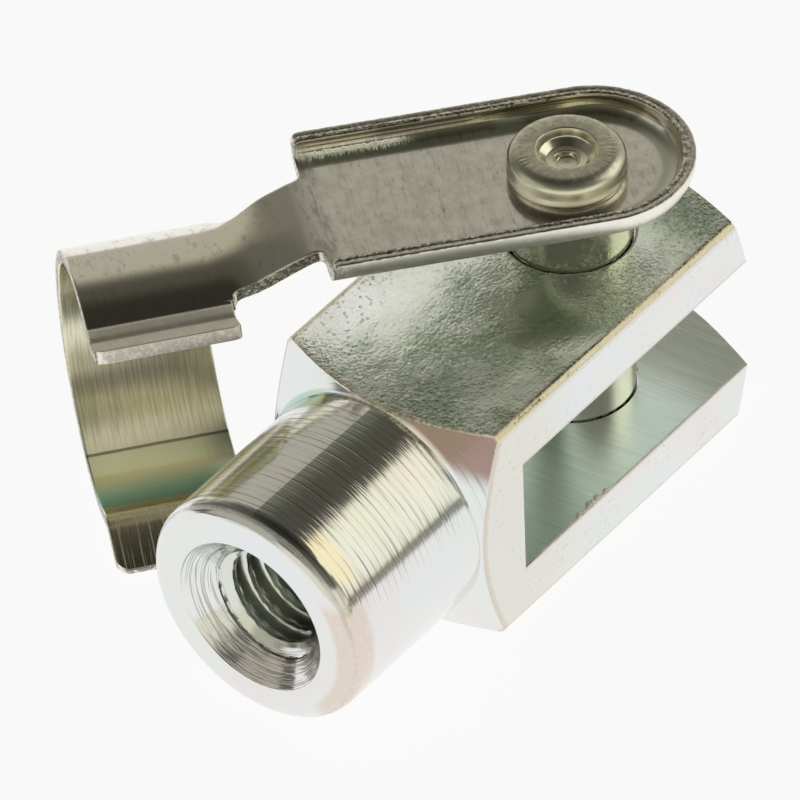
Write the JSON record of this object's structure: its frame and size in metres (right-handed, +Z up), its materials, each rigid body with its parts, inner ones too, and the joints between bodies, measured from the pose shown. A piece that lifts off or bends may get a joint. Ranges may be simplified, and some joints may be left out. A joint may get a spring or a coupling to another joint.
{
  "type": "clevis rod end",
  "caption": "Fork-shaped rod end with a threaded shank and a cross pin held by a swinging spring clip that clasps the shank.",
  "frame": {"origin": "where the pin's axis crosses the fork's axis, in the middle of the slot", "axes": "+X runs along the fork's axis out of its mouth, -X out of the threaded shank, +Z up along the pin towards its button, and the fork lies on its lower flat"},
  "size_m": [0.0209, 0.0171, 0.0113],
  "materials": {
    "plated_fork": "zinc plated, turned and milled, blue-white passivated",
    "plated_pin": "zinc plated, smooth, yellow-green tinted",
    "plated_clip": "zinc plated spring sheet, smooth with sheared edges"
  },
  "bodies": {
    "fork": {"fork": "plated_fork"},
    "pin": {"pin": "plated_pin"},
    "clip": {"clip": "plated_clip"}
  },
  "joints": [
    {"name": "pin_lift", "type": "slide", "parent": "fork", "child": "pin", "axis": [0, 0, 1], "range_m": [-0.0016, 0.0081]},
    {"name": "clip_swing", "type": "hinge", "parent": "pin", "child": "clip", "pos_m": [0, 0, 0.0061], "axis": [0, 0, -1], "range_deg": [-1, 277]}
  ]
}
